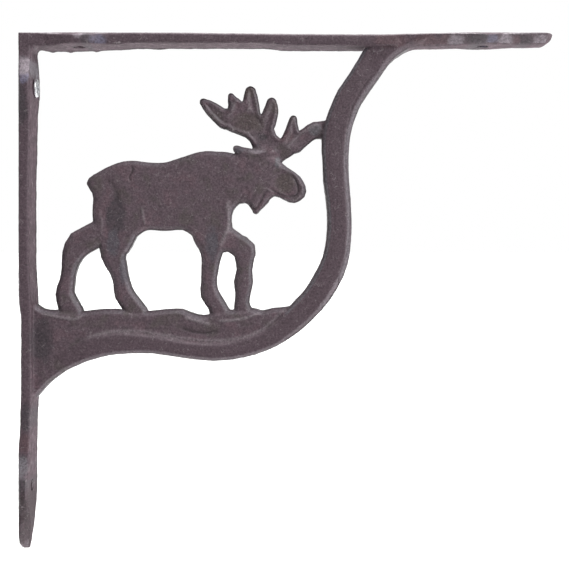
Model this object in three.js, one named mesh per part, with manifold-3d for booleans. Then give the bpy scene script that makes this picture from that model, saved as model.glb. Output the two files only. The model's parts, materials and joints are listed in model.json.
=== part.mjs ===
// A cast iron shelf bracket. A wall strap and a shelf strap meet at a right angle, an S-shaped brace
// joins them, and a moose stands inside the frame on a strip of rough ground. All of that is one
// casting, the same on both faces. The only other piece is the screw in the upper wall hole.
//
// Millimetres. X runs out from the wall, Z up, Y across. The wall is the plane X = 0, the casting's
// middle plane is Y = 0, and the origin is halfway between the two wall holes.
import * as THREE from 'three';
import { mergeVertices } from 'three/addons/utils/BufferGeometryUtils.js';
import Module from 'manifold-3d';

const wasm = await Module();
wasm.setup();

// Driving dimensions of the two straps
const shelfReach = 247.7;
const wallHolePitch = 186;
const topAboveUpperHole = 24.5;
const tipBelowLowerHole = 29.3;
const shelfHoleFromWall = 26.5;
const shelfHolePitch = 189;
const holeDiameter = 5.2;
const strapWidth = 18;
const lugWidth = 25;
const lugLength = 30;
const lugRelief = 1;
const wallStrapThickness = 5.2;
const shelfStrapThickness = 5.3;
const strapWaist = 0.7;
const rootThickening = 0.6;
const lugThickening = 0.2;
const shelfTongueBevel = 3.6;
const wallTongueBevel = 6.4;
const shelfTipRounding = 5;
const wallTipRounding = 9;
const wallTipLift = 1.3;
const tipBevel = 3;
const tipThickness = 1.6;
const edgeChamfer = 0.5;
const cornerFillet = 5.2;
const rootCover = 1;

// How far the casting has pulled in between the lugs: the straps are not quite straight
const shelfBow = 0.97;
const wallBow = 1.25;

// Brace, ground and moose
const braceReach = 170;
const braceDrop = 166;
const braceHalfDepth = 6.2;
const braceEndHalfDepth = 8.4;
const braceInnerBevel = 2.4;
const braceOuterBevel = 1.5;
const bandBevel = 1.6;
const groundHalfDepth = 4.6;
const groundBevel = 1.7;
const mooseHeight = 105.5;
const mooseFromWall = 30.3;
const bodyHalfDepth = 3.6;
const headHalfDepth = 4;
const earHalfDepth = 4.7;
const legHalfDepth = 3.5;
const palmHalfDepth = 2.6;
const tineHalfDepth = 3.2;
const bodyBevel = 1.3;
const tineBevel = 1;

// Screw in the upper wall hole
const screwShankDiameter = 4.4;
const screwHeadDiameter = 8.6;
const screwHeadHeight = 1.5;
const screwSeatGap = 0.3;
const screwEndInset = 0.5;
const recessLength = 4.4;
const recessWidth = 1.1;
const recessDepth = 0.8;
const screwRimShare = 0.35;
const domeAngles = [25, 50, 72];

// Levels and places that follow from them
const upperHoleZ = wallHolePitch / 2;
const lowerHoleZ = -wallHolePitch / 2;
const topZ = upperHoleZ + topAboveUpperHole;
const tipZ = lowerHoleZ - tipBelowLowerHole;
const farHoleFromWall = shelfHoleFromWall + shelfHolePitch;

// How finely round and free forms are cut into facets
const ringsPerStation = 2;
const roundEndAngles = [35, 62, 82];
const outlineStep = 2.6;
const leastBevel = 0.15;
const strapStep = 4;
const strapEndAngles = [18, 36, 54, 68, 79, 87];
const holeSides = 28;

function smooth(from, to, value) {
  return THREE.MathUtils.smoothstep(value, from, to);
}

function blend(stations, distance) {
  // Eased value between [distance, value] stations
  const last = stations.length - 1;
  if (distance <= stations[0][0]) return stations[0][1];
  if (distance >= stations[last][0]) return stations[last][1];
  const next = stations.findIndex(([at]) => at > distance);
  const [fromAt, fromValue] = stations[next - 1];
  const [toAt, toValue] = stations[next];
  return THREE.MathUtils.lerp(fromValue, toValue, smooth(fromAt, toAt, distance));
}

// Solids

function bodyFrom(positions, triangles) {
  const geometry = new THREE.BufferGeometry();
  geometry.setAttribute('position', new THREE.Float32BufferAttribute(positions, 3));
  geometry.setIndex(triangles);
  return geometry;
}

function toSolid(geometry) {
  const bare = geometry.clone();
  bare.deleteAttribute('normal');
  bare.deleteAttribute('uv');
  const merged = mergeVertices(bare, 1e-4);
  return new wasm.Manifold(new wasm.Mesh({
    numProp: 3,
    vertProperties: new Float32Array(merged.getAttribute('position').array),
    triVerts: new Uint32Array(merged.getIndex().array),
  }));
}

function toGeometry(solid) {
  const mesh = solid.getMesh();
  const geometry = new THREE.BufferGeometry();
  geometry.setAttribute('position', new THREE.BufferAttribute(mesh.vertProperties.slice(), 3));
  geometry.setIndex(new THREE.BufferAttribute(mesh.triVerts.slice(), 1));
  geometry.computeVertexNormals();
  return geometry;
}

function addAll(solids) {
  return solids.reduce((sum, solid) => sum.add(solid));
}

// A closed body through rings of points, all with the same count, closed by a fan at each end
function loft(rings) {
  const sides = rings[0].length;
  const positions = rings.flat().flatMap((point) => [point.x, point.y, point.z]);
  const triangles = [];
  for (let ring = 0; ring + 1 < rings.length; ring += 1) {
    for (let side = 0; side < sides; side += 1) {
      const here = ring * sides + side;
      const beside = ring * sides + ((side + 1) % sides);
      triangles.push(here, here + sides, beside);
      triangles.push(beside, here + sides, beside + sides);
    }
  }
  const lastRing = (rings.length - 1) * sides;
  for (let side = 1; side + 1 < sides; side += 1) {
    triangles.push(0, side, side + 1);
    triangles.push(lastRing, lastRing + side + 1, lastRing + side);
  }
  return toSolid(bodyFrom(positions, triangles));
}

// A limb lies in the XZ plane along its stations [x, z, half width], symmetric about Y = 0, with
// a bevel along each long edge and round ends. depths gives its half depth at each station.
function limb(stations, depths, leftBevel, rightBevel) {
  const path = new THREE.CatmullRomCurve3(
    stations.map(([x, z, halfWidth]) => new THREE.Vector3(x, halfWidth, z)), false, 'centripetal');
  const count = (stations.length - 1) * ringsPerStation;
  const nudge = 0.002;
  const rings = [];
  const addRing = (centre, along, halfWidth, halfDepth, width) => {
    const across = new THREE.Vector3(-along.z, 0, along.x);
    const left = Math.min(leftBevel, 0.6 * halfWidth);
    const right = Math.min(rightBevel, 0.6 * halfWidth);
    const section = [
      [-width, left - halfDepth], [-width + left * width / halfWidth, -halfDepth],
      [width - right * width / halfWidth, -halfDepth], [width, right - halfDepth],
      [width, halfDepth - right], [width - right * width / halfWidth, halfDepth],
      [-width + left * width / halfWidth, halfDepth], [-width, halfDepth - left],
    ];
    rings.push(section.map(([side, depth]) => centre.clone()
      .addScaledVector(across, side)
      .setY(depth)));
  };
  const at = (share) => {
    const point = path.getPoint(share);
    const before = path.getPoint(Math.max(0, share - nudge));
    const after = path.getPoint(Math.min(1, share + nudge));
    const along = new THREE.Vector3(after.x - before.x, 0, after.z - before.z).normalize();
    const depthAt = share * (depths.length - 1);
    const lower = Math.min(Math.floor(depthAt), depths.length - 2);
    const halfDepth = depths.length > 1
      ? THREE.MathUtils.lerp(depths[lower], depths[lower + 1], depthAt - lower)
      : depths[0];
    return { centre: new THREE.Vector3(point.x, 0, point.z), along, halfWidth: point.y, halfDepth };
  };
  const addEnd = (end, direction, angles) => {
    for (const angle of angles) {
      const turn = THREE.MathUtils.degToRad(angle);
      const centre = end.centre.clone()
        .addScaledVector(end.along, direction * end.halfWidth * Math.sin(turn));
      addRing(centre, end.along, end.halfWidth, end.halfDepth, end.halfWidth * Math.cos(turn));
    }
  };
  addEnd(at(0), -1, [...roundEndAngles].reverse());
  for (let index = 0; index <= count; index += 1) {
    const { centre, along, halfWidth, halfDepth } = at(index / count);
    addRing(centre, along, halfWidth, halfDepth, halfWidth);
  }
  addEnd(at(1), 1, roundEndAngles);
  return loft(rings);
}

// A smooth closed outline through a few points [x, z], with a vertex about every outlineStep
function outlineThrough(points) {
  const curve = new THREE.CatmullRomCurve3(
    points.map(([x, z]) => new THREE.Vector3(x, z, 0)), true, 'centripetal');
  const count = Math.round(curve.getLength() / outlineStep);
  const loop = curve.getSpacedPoints(count).slice(0, count).map(({ x, y }) => new THREE.Vector2(x, y));
  if (THREE.ShapeUtils.isClockWise(loop)) loop.reverse();
  return loop;
}

// Distance from one point of a loop, along its inward normal, to the far side of the loop
function reachInside(loop, index, inward) {
  const from = loop[index];
  let nearest = Infinity;
  for (let edge = 0; edge < loop.length; edge += 1) {
    const start = loop[edge];
    const end = loop[(edge + 1) % loop.length];
    if (start === from || end === from) continue;
    const along = end.clone().sub(start);
    const turned = inward.cross(along);
    if (Math.abs(turned) < 1e-9) continue;
    const offset = start.clone().sub(from);
    const distance = offset.cross(along) / turned;
    const share = offset.cross(inward) / turned;
    if (distance > 0 && share >= 0 && share <= 1) nearest = Math.min(nearest, distance);
  }
  return nearest;
}

// Radius of the loop's outward bend at one point, without end where it is straight or hollow
function turnRadius(loop, index) {
  const before = loop[index].clone().sub(loop[(index + loop.length - 1) % loop.length]);
  const after = loop[(index + 1) % loop.length].clone().sub(loop[index]);
  const turn = Math.atan2(before.cross(after), before.dot(after));
  return turn > 0 ? (before.length() + after.length()) / 2 / turn : Infinity;
}

// A plate in the XZ plane, symmetric about Y = 0, with a bevel all round. The bevel gets narrower
// where the plate does.
function plate(points, halfDepth, bevel) {
  const loop = outlineThrough(points);
  const inwards = loop.map((point, index) => {
    const before = loop[(index + loop.length - 1) % loop.length];
    const after = loop[(index + 1) % loop.length];
    const along = after.clone().sub(before).normalize();
    return new THREE.Vector2(-along.y, along.x);
  });
  const limits = loop.map((point, index) => {
    const room = Math.min(0.4 * reachInside(loop, index, inwards[index]), 0.4 * turnRadius(loop, index));
    return THREE.MathUtils.clamp(room, leastBevel, bevel);
  });
  const insets = limits.map((limit, index) => Math.min(
    limit, limits[(index + 1) % limits.length], limits[(index + limits.length - 1) % limits.length]));
  const face = loop.map((point, index) => point.clone().addScaledVector(inwards[index], insets[index]));
  const layers = [
    face.map(({ x, y }) => [x, -halfDepth, y]),
    loop.map(({ x, y }, index) => [x, insets[index] - halfDepth, y]),
    loop.map(({ x, y }, index) => [x, halfDepth - insets[index], y]),
    face.map(({ x, y }) => [x, halfDepth, y]),
  ];
  const size = loop.length;
  const triangles = [];
  for (let layer = 0; layer + 1 < layers.length; layer += 1) {
    for (let index = 0; index < size; index += 1) {
      const here = layer * size + index;
      const beside = layer * size + ((index + 1) % size);
      triangles.push(here, here + size, beside);
      triangles.push(beside, here + size, beside + size);
    }
  }
  const lastLayer = (layers.length - 1) * size;
  for (const [a, b, c] of THREE.ShapeUtils.triangulateShape(face, [])) {
    triangles.push(a, b, c);
    triangles.push(lastLayer + a, lastLayer + c, lastLayer + b);
  }
  return toSolid(bodyFrom(layers.flat(2), triangles));
}

// Straps

// How far a lug stands out on each side of the strap, near a hole
function lugBulge(distance, holes) {
  const nearest = Math.min(...holes.map((hole) => Math.abs(distance - hole)));
  const share = Math.min(nearest / (lugLength / 2), 1);
  return (lugWidth - strapWidth) / 2 * Math.cos(share * Math.PI / 2) ** 2;
}

// Rings across a strap, at each distance along it, ending in a rounded tip. The face that lies on the
// wall or under the shelf is flat, and a lug falls away from it outside the strap's own width. The
// inner face is narrower by innerInset on each side. place turns (distance, height, y) into a point.
function strap({ length, tipRounding, holes, outerAt, innerAt, innerInsetAt, place }) {
  const plainHalf = strapWidth / 2;
  const straight = length - tipRounding;
  const count = Math.round(straight / strapStep);
  const distances = Array.from({ length: count }, (_, index) => index * straight / (count - 1));
  for (const angle of strapEndAngles) {
    distances.push(straight + tipRounding * Math.sin(THREE.MathUtils.degToRad(angle)));
  }
  const rings = distances.map((distance) => {
    const past = Math.max(0, distance - straight) / tipRounding;
    const tipPast = Math.max(0, distance - (length - tipBevel)) / tipBevel;
    const plain = plainHalf * Math.sqrt(1 - past * past);
    const bulge = lugBulge(distance, holes);
    const half = plain + bulge;
    const inner = Math.max(half - innerInsetAt(distance), 0.3 * half);
    const low = outerAt(distance);
    const thick = low + tipThickness;
    const high = THREE.MathUtils.lerp(thick, innerAt(distance), Math.sqrt(1 - tipPast * tipPast));
    const cut = edgeChamfer * plain / plainHalf;
    const edge = low + cut + lugRelief * bulge / (lugWidth / 2 - plainHalf);
    const rounded = inner + Math.min(cut, half - inner);
    const side = [[low, plain - cut], [edge, half], [high - cut, rounded], [high, inner - cut]];
    const ring = [...side.map(([height, y]) => [height, -y]), ...side.reverse()];
    return ring.map(([height, y]) => place(distance, height, y)).reverse();
  });
  return loft(rings);
}

function makeShelfStrap() {
  const thin = shelfStrapThickness - strapWaist;
  const lugEnd = shelfHoleFromWall + lugLength / 2;
  const waistEnd = braceReach * 2 / 3;
  const besideBrace = shelfStrapThickness + strapWaist / 2;
  const bow = [[lugEnd, 0], [braceReach - lugLength / 3, shelfBow], [farHoleFromWall, 0]];
  const underside = [
    [shelfHoleFromWall / 2, shelfStrapThickness + rootThickening], [shelfHoleFromWall, shelfStrapThickness],
    [lugEnd, shelfStrapThickness], [lugEnd + lugLength / 2, thin], [waistEnd, thin],
    [waistEnd + lugLength / 3, besideBrace], [braceReach + lugLength / 2, besideBrace],
    [farHoleFromWall, thin + strapWaist / 2], [shelfReach, thin],
  ];
  return strap({
    length: shelfReach,
    tipRounding: shelfTipRounding,
    holes: [shelfHoleFromWall, farHoleFromWall],
    outerAt: (distance) => blend(bow, distance),
    innerAt: (distance) => blend(underside, distance),
    innerInsetAt: (distance) => shelfTongueBevel * smooth(braceReach, braceReach + lugLength / 2, distance),
    place: (distance, height, y) => new THREE.Vector3(distance, y, topZ - height),
  });
}

function makeWallStrap() {
  const length = topZ - tipZ;
  const upperHole = topZ - upperHoleZ;
  const lowerHole = topZ - lowerHoleZ;
  const thin = wallStrapThickness - strapWaist;
  const thick = wallStrapThickness + rootThickening;
  const bow = [
    [topZ + strapStep, 0], [topZ + lugLength / 2, wallBow], [lowerHole - 1.6 * lugLength, wallBow],
    [lowerHole - lugLength, 2 / 3 * wallBow], [lowerHole - lugLength / 2, 0],
    [length - tipBevel, 0], [length, wallTipLift],
  ];
  const face = [
    [upperHole, wallStrapThickness + lugThickening], [upperHole + lugLength / 2, wallStrapThickness],
    [upperHole + 1.5 * lugLength, thin], [topZ - lugLength / 2, thin], [topZ + lugLength / 2, thick],
    [lowerHole - 1.4 * lugLength, thick], [lowerHole - lugLength, wallStrapThickness],
    [lowerHole - lugLength / 2, wallStrapThickness - strapWaist / 3], [lowerHole, thin - strapWaist / 2],
    [length, thin - 2 * strapWaist],
  ];
  return strap({
    length,
    tipRounding: wallTipRounding,
    holes: [upperHole, lowerHole],
    outerAt: (distance) => blend(bow, distance),
    innerAt: (distance) => blend(face, distance),
    innerInsetAt: (distance) => wallTongueBevel * smooth(lowerHole, lowerHole + lugLength, distance),
    place: (distance, height, y) => new THREE.Vector3(height, -y, topZ - distance),
  });
}

// The inside corner, filled by a concave fillet across the straps
function makeCornerFillet() {
  const innerX = wallStrapThickness;
  const innerZ = topZ - shelfStrapThickness;
  const sunk = 1;
  const shape = new THREE.Shape();
  shape.moveTo(innerX - sunk, innerZ + sunk);
  shape.lineTo(innerX - sunk, innerZ - cornerFillet);
  shape.lineTo(innerX, innerZ - cornerFillet);
  shape.absarc(innerX + cornerFillet, innerZ - cornerFillet, cornerFillet, Math.PI, Math.PI / 2, true);
  shape.lineTo(innerX + cornerFillet, innerZ + sunk);
  const width = strapWidth - 2 * edgeChamfer;
  const settings = { depth: width, bevelEnabled: false, curveSegments: 8 };
  const geometry = new THREE.ExtrudeGeometry(shape, settings);
  geometry.rotateX(Math.PI / 2);
  geometry.translate(0, width / 2, 0);
  return toSolid(geometry);
}

function makeHoles() {
  const reach = 4 * wallStrapThickness;
  const round = () => new THREE.CylinderGeometry(holeDiameter / 2, holeDiameter / 2, reach, holeSides);
  const wallHoles = [upperHoleZ, lowerHoleZ].map((z) => {
    const geometry = round();
    geometry.rotateZ(Math.PI / 2);
    geometry.translate(0, 0, z);
    return toSolid(geometry);
  });
  const shelfHoles = [shelfHoleFromWall, farHoleFromWall].map((x) => {
    const geometry = round();
    geometry.rotateX(Math.PI / 2);
    geometry.translate(x, 0, topZ);
    return toSolid(geometry);
  });
  return addAll([...wallHoles, ...shelfHoles]);
}

// Brace and ground, as shares of the brace's reach from the wall and its drop below the shelf top

const braceLine = [
  [1.09, 0.012, 3], [1.045, 0.018, 4.6], [0.986, 0.047, 6.6], [0.958, 0.088, 6.4], [0.927, 0.136, 6.1],
  [0.901, 0.175, 6.2], [0.884, 0.213, 6.2], [0.872, 0.248, 6.2], [0.863, 0.293, 6.4], [0.862, 0.351, 5.9],
  [0.864, 0.407, 5.8], [0.87, 0.463, 5.5], [0.873, 0.52, 5.4], [0.871, 0.578, 5.6], [0.861, 0.637, 5.9],
  [0.835, 0.695, 6], [0.8, 0.747, 5.8], [0.757, 0.792, 5.7], [0.712, 0.832, 5], [0.662, 0.86, 4.6],
  [0.604, 0.88, 4.4], [0.525, 0.889, 4.3], [0.449, 0.882, 4.1], [0.364, 0.868, 4.3], [0.291, 0.864, 5],
  [0.232, 0.869, 5.3], [0.188, 0.881, 5.2], [0.145, 0.899, 5], [0.101, 0.92, 5.2], [0.057, 0.951, 5.6],
  [0.017, 0.988, 6.4],
];
const groundLine = [
  [0.02, 0.754], [0.042, 0.758], [0.051, 0.768], [0.069, 0.774], [0.1, 0.775], [0.136, 0.78],
  [0.173, 0.778], [0.227, 0.772], [0.274, 0.773], [0.309, 0.78], [0.347, 0.778], [0.412, 0.772],
  [0.438, 0.772], [0.463, 0.781], [0.482, 0.787], [0.508, 0.789], [0.522, 0.783], [0.572, 0.774],
  [0.613, 0.774], [0.632, 0.77], [0.649, 0.773], [0.668, 0.777], [0.685, 0.77], [0.718, 0.767],
  [0.74, 0.763],
];
const groundLevel = 0.78;
const bandStart = 17;
const bandTaper = 5;

function inFrame([reachShare, dropShare, halfWidth]) {
  const place = [reachShare * braceReach, topZ - dropShare * braceDrop];
  return halfWidth === undefined ? place : [...place, halfWidth];
}

function makeBrace() {
  const stations = braceLine.map(inFrame);
  const upright = stations.slice(0, bandStart + 1);
  const band = stations.slice(bandStart - 1);
  const uprightDepths = upright.map((station, index) => (
    THREE.MathUtils.lerp(braceEndHalfDepth, braceHalfDepth, smooth(0, 3, index))));
  const fadeFrom = band.length - bandTaper;
  const bandDepths = band.map((station, index) => (
    THREE.MathUtils.lerp(braceHalfDepth, groundHalfDepth, smooth(fadeFrom, band.length - 2, index))));
  return [
    limb(upright, uprightDepths, braceOuterBevel, braceInnerBevel),
    limb(band, bandDepths, bandBevel, bandBevel),
  ];
}

// The ground fills down to the middle of the brace below it
function makeGround() {
  const top = groundLine.map(inFrame);
  const below = braceLine.slice(bandStart - 1).map(inFrame).map(([x, z]) => [x, z]);
  return plate([...top, ...below], groundHalfDepth, groundBevel);
}

// Moose, in per cent of its height: x from the tail, z from the level of its hooves

const torso = [
  [0.1, 57], [1.4, 59.7], [4.6, 61.6], [8.8, 64], [15.8, 66.6], [20.3, 67], [29.2, 66.1], [34.9, 66.2],
  [40.9, 68], [48.3, 70.5], [52.7, 71.3], [58.5, 71], [64.1, 70.5], [70.5, 67.6], [73.2, 59.6],
  [69.6, 50.7], [65.9, 46.6], [64.4, 44.4], [64, 41.3], [64.3, 37.8], [65, 32.5], [61.8, 26.8], [55, 28],
  [49.2, 31.4], [46, 34.7], [42, 36.7], [38.7, 36.4], [33.5, 36.2], [26, 36.3], [19.8, 32.4],
  [10.9, 32.9], [3.4, 39], [2.7, 45.8], [2.9, 52],
];
const head = [
  [66, 70.4], [71.4, 71.8], [77.6, 71.1], [82.9, 68.9], [88.6, 64.2], [91.6, 62.3], [93.9, 60.6],
  [95.8, 58.1], [97.1, 54.8], [97, 52.4], [96, 50.7], [93.9, 49.2], [92.1, 48.5], [89.6, 48.9],
  [87.3, 50], [85, 51.2], [83.2, 51.6], [81.4, 50.4], [78.5, 47.6], [74, 46.9], [70.7, 48.4],
  [68.9, 48.8], [66.9, 47.8], [62.5, 50.7], [59.8, 59.6], [61.6, 67.6],
];
const palm = [
  [74.9, 69.3], [73.1, 74.8], [71.1, 77.3], [67.4, 79], [61.5, 81.4], [58.3, 84.5], [56.6, 87.3],
  [60.6, 90.1], [64.3, 90], [68.3, 91.8], [71.4, 91.6], [76, 89.5], [77.6, 86.7], [79.8, 86.7],
  [81.8, 84.4], [82.9, 80.4], [84.9, 77], [88.3, 77.3], [92.3, 79.3], [95.8, 79.8], [97, 77.5],
  [94.6, 73.3], [91, 69.7], [88, 68], [83.8, 65.6],
];
const legs = {
  farHind: [
    [11.2, 44.4, 7.8], [6.9, 36.2, 5.5], [-2.9, 30.6, 5.8], [-6.5, 25, 4.5], [-7.9, 18.7, 3.2],
    [-8.8, 13.3, 3.3], [-9.8, 8.2, 4], [-8.5, 4, 4.4], [-6.9, -0.4, 5.2]],
  nearHind: [
    [14.8, 40, 9.3], [12.6, 30.7, 7.3], [11.8, 25.1, 5.4], [13.9, 18.7, 3.9], [15.4, 13.3, 3.5],
    [16.6, 8, 4.1], [19.8, 3.3, 4.2], [22.4, -0.9, 4.8]],
  nearFore: [
    [54.8, 38.2, 9.3], [55.1, 32, 7.5], [55.3, 27.6, 5.3], [55, 23.6, 4.1], [54.5, 18.7, 3.6],
    [54.1, 13.3, 3.4], [54.5, 8, 4], [57.3, 3.6, 3.8], [59.2, -0.9, 4.5]],
  farFore: [
    [59.3, 34.9, 5], [66, 30.3, 4.7], [69.8, 27.5, 5], [69.9, 23.6, 4.1], [69.9, 18.7, 3.3],
    [69.4, 13.3, 4.1], [69.2, 8.4, 3.3], [68.7, 4.4, 3.2], [69.2, -0.4, 4.1]],
};
const tines = [
  [[61.4, 85.1, 3.8], [55.2, 90.2, 2.9], [51.8, 93, 1.5]],
  [[66.5, 88.9, 3.8], [65.7, 92, 3.1], [64.6, 94, 2], [64, 95.6, 1.2]],
  [[72.5, 88.4, 4.1], [72.6, 93.6, 3.2], [72.6, 97.5, 2.3]],
  [[79.8, 83.6, 3.6], [80.9, 86.7, 3.3], [81.8, 89.9, 2.9], [81.9, 92.7, 2.1]],
  [[90, 76.2, 3.7], [91, 80.4, 2.8], [91.2, 83.2, 2], [91.5, 85.5, 1.4]],
];
const browTine = [[92.3, 74.4, 3.9], [98, 78.8, 3.1], [101.4, 80.6, 3.6]];
const browTineEnd = 4.2;
const ear = [[66.4, 72.2, 1.5], [68.7, 71.3, 1.7], [73.2, 70.2, 2], [78.5, 70, 1.7], [82.9, 70.9, 0.7]];
const dewlap = [[75.4, 49.8, 5.3], [75.1, 46.9, 3.1], [74.9, 44.9, 1.3]];

function onMoose([x, z, halfWidth]) {
  const unit = mooseHeight / 100;
  const place = [mooseFromWall + x * unit, topZ - groundLevel * braceDrop + z * unit];
  return halfWidth === undefined ? place : [...place, halfWidth * unit];
}

// The brow tine runs on into the brace, which holds the antler
function browTineToBrace() {
  const stations = browTine.map(onMoose);
  const [, level] = stations[stations.length - 1];
  const upright = braceLine.slice(0, bandStart).map(inFrame);
  const nearest = upright.reduce((best, station) => (
    Math.abs(station[1] - level) < Math.abs(best[1] - level) ? station : best));
  return [...stations, [nearest[0], level, browTineEnd * mooseHeight / 100]];
}

function makeMoose() {
  const shapes = Object.values(legs).map((stations) => (
    limb(stations.map(onMoose), [bodyHalfDepth, legHalfDepth], bodyBevel, bodyBevel)));
  for (const stations of tines) {
    shapes.push(limb(stations.map(onMoose), [tineHalfDepth], tineBevel, tineBevel));
  }
  shapes.push(limb(browTineToBrace(), [tineHalfDepth], tineBevel, tineBevel));
  shapes.push(limb(ear.map(onMoose), [earHalfDepth], tineBevel, tineBevel));
  shapes.push(limb(dewlap.map(onMoose), [headHalfDepth], bodyBevel, bodyBevel));
  shapes.push(plate(torso.map(onMoose), bodyHalfDepth, bodyBevel));
  shapes.push(plate(head.map(onMoose), headHalfDepth, bodyBevel));
  shapes.push(plate(palm.map(onMoose), palmHalfDepth, tineBevel));
  return shapes;
}

// What stands inside the frame is rooted in the straps, and stops short of their outer faces
function makeBracket() {
  const inside = addAll([...makeBrace(), makeGround(), ...makeMoose()]);
  const height = topZ - tipZ;
  const frame = new THREE.BoxGeometry(shelfReach, 2 * lugWidth, height);
  frame.translate(shelfReach / 2 + wallBow + rootCover, 0, topZ - height / 2 - shelfBow - rootCover);
  const straps = addAll([makeShelfStrap(), makeWallStrap(), makeCornerFillet()]);
  return straps.add(inside.intersect(toSolid(frame))).subtract(makeHoles());
}

// A round-headed screw, turned about X, its head on the wall strap and a cross cut into the head
function makeScrew() {
  const seat = wallStrapThickness + lugThickening + screwSeatGap;
  const shank = screwShankDiameter / 2;
  const rim = screwHeadDiameter / 2;
  const domeStart = screwRimShare * screwHeadHeight;
  const profile = [
    [0, screwEndInset], [shank, screwEndInset], [shank, seat], [rim, seat], [rim, seat + domeStart]];
  for (const angle of domeAngles) {
    const turn = THREE.MathUtils.degToRad(angle);
    const rise = (screwHeadHeight - domeStart) * Math.sin(turn);
    profile.push([rim * Math.cos(turn), seat + domeStart + rise]);
  }
  profile.push([0, seat + screwHeadHeight]);
  const points = profile.map(([radius, along]) => new THREE.Vector2(radius, along));
  const turned = new THREE.LatheGeometry(points, holeSides);
  const recesses = [[recessLength, recessWidth], [recessWidth, recessLength]].map(([first, second]) => {
    const geometry = new THREE.BoxGeometry(first, 2 * recessDepth, second);
    geometry.translate(0, seat + screwHeadHeight, 0);
    return toSolid(geometry);
  });
  const geometry = toGeometry(toSolid(turned).subtract(addAll(recesses)));
  geometry.rotateZ(-Math.PI / 2);
  return geometry;
}

const paintedIron = new THREE.MeshStandardMaterial({ color: '#5b4d50', roughness: 0.65, metalness: 0.3 });
const brightZinc = new THREE.MeshStandardMaterial({ color: '#c3c5ca', roughness: 0.3, metalness: 1 });

const bracket = new THREE.Mesh(toGeometry(makeBracket()), paintedIron);
bracket.name = 'bracket_casting';

const screw = new THREE.Mesh(makeScrew(), brightZinc);
screw.name = 'wall_screw';
screw.position.z = upperHoleZ;

const group = new THREE.Group();
group.add(bracket, screw);

export default group;
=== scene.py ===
import json

import bpy
import numpy as np
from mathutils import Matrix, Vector, kdtree

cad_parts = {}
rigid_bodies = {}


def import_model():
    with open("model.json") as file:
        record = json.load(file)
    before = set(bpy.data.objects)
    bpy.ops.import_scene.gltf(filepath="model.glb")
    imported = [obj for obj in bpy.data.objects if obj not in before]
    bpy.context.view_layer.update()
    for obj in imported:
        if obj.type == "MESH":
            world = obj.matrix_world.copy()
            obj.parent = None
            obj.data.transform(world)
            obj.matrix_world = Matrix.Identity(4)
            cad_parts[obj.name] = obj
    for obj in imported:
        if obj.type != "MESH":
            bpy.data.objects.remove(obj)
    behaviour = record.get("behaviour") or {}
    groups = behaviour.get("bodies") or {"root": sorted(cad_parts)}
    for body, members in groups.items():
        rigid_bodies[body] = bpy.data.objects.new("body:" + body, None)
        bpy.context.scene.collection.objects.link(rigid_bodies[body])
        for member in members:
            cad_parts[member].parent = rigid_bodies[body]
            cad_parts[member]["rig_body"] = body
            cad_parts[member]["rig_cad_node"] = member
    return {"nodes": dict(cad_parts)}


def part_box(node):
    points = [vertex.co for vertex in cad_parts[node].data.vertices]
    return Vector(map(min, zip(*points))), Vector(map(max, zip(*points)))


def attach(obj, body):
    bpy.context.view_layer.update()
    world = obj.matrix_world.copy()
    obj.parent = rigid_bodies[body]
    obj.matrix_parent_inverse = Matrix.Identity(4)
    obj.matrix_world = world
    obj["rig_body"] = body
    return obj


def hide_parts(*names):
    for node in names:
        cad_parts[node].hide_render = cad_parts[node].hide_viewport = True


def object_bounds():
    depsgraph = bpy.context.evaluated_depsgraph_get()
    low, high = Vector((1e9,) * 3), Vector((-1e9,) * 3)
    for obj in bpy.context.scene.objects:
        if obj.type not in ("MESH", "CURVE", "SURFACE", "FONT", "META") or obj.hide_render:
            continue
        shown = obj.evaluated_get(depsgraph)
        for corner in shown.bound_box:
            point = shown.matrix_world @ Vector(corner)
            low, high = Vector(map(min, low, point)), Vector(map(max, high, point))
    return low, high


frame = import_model()
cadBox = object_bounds()
mm = 0.001
weldGap = 0.002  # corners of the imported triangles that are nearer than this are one


# Helpers

def pickOnly(piece):
    bpy.ops.object.select_all(action="DESELECT")
    piece.select_set(True)
    bpy.context.view_layer.objects.active = piece


def newest(name):
    # Names the object that the last operator made
    piece = bpy.context.object
    piece.name = name
    piece.data.name = name
    return piece


def putInMesh(piece):
    pickOnly(piece)
    bpy.ops.object.transform_apply(location=True, rotation=True, scale=True)


def addModifier(piece, kind, **settings):
    modifier = piece.modifiers.new(kind.title(), kind)
    for key, value in settings.items():
        setattr(modifier, key, value)
    pickOnly(piece)
    bpy.ops.object.modifier_apply(modifier=modifier.name)


def duplicateNode(node, name):
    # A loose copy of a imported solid, with its doubled corners merged
    pickOnly(frame["nodes"][node])
    bpy.ops.object.duplicate()
    piece = newest(name)
    bpy.ops.object.parent_clear(type="CLEAR_KEEP_TRANSFORM")
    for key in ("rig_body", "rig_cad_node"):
        if key in piece:
            del piece[key]
    bpy.ops.object.mode_set(mode="EDIT")
    bpy.ops.mesh.select_all(action="SELECT")
    bpy.ops.mesh.remove_doubles(threshold=weldGap * mm)
    bpy.ops.object.mode_set(mode="OBJECT")
    return piece


def readPoints(piece):
    points = np.zeros(len(piece.data.vertices) * 3)
    piece.data.vertices.foreach_get("co", points)
    return points.reshape(-1, 3)


def readNormals(piece):
    normals = np.zeros(len(piece.data.vertices) * 3)
    piece.data.vertices.foreach_get("normal", normals)
    return normals.reshape(-1, 3)


def writePoints(piece, points):
    piece.data.vertices.foreach_set("co", points.ravel())
    piece.data.update()


def ease(low, high, value):
    share = np.clip((value - low) / (high - low), 0, 1)
    return share * share * (3 - 2 * share)


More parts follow.
